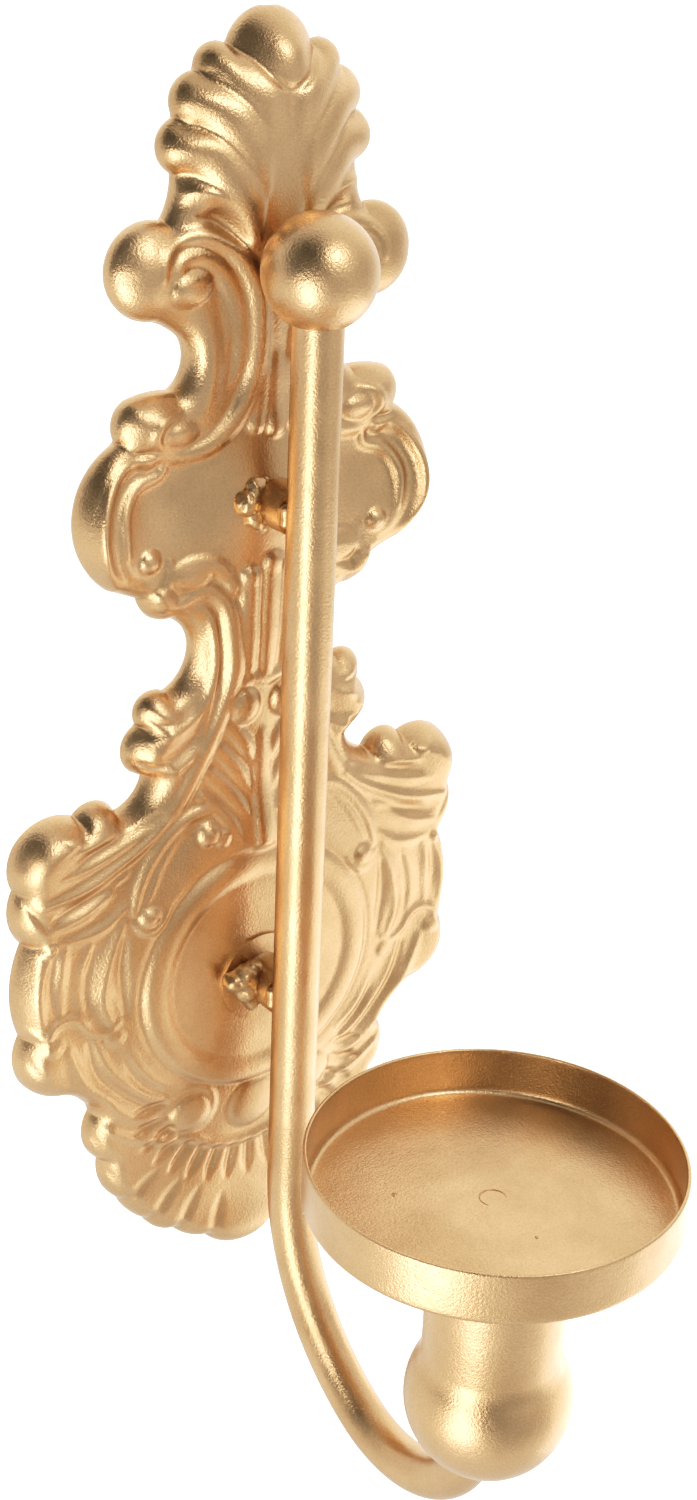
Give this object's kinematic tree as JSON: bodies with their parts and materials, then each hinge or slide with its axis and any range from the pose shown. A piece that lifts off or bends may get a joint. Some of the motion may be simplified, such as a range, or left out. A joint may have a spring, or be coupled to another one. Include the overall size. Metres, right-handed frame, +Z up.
{
  "type": "wall sconce candle holder",
  "caption": "Wall sconce for a pillar candle: pressed ornamental backplate, upright tube arm bent forward under a round bulb and a shallow pan.",
  "frame": {"origin": "centre of the hanging hole, on the wall's plane", "axes": "+Z up, +Y into the wall, so the cup stands out along -Y, and the part is symmetric left to right about X = 0"},
  "size_m": [0.1124, 0.1268, 0.2969],
  "materials": {
    "gold_paint": "satin metallic gold sprayed paint with a fine orange-peel grain, on steel",
    "weld_metal": "weld metal under the same gold paint, glossier and uneven",
    "strap_steel": "plain steel strip with gold overspray"
  },
  "bodies": {
    "root": {"backplate": "gold_paint", "centre_disc": "gold_paint", "hanger_strap": "strap_steel", "hanger_welds": "weld_metal", "upper_post": "gold_paint", "lower_post": "gold_paint", "upper_plate_weld": "weld_metal", "lower_plate_weld": "weld_metal", "upper_arm_weld": "weld_metal", "lower_arm_weld": "weld_metal", "arm_tube": "gold_paint", "ball_finial": "gold_paint", "bulb": "gold_paint", "bulb_neck": "gold_paint", "arm_bulb_weld": "weld_metal", "candle_cup": "gold_paint", "cup_plug_weld": "weld_metal"}
  },
  "joints": []
}
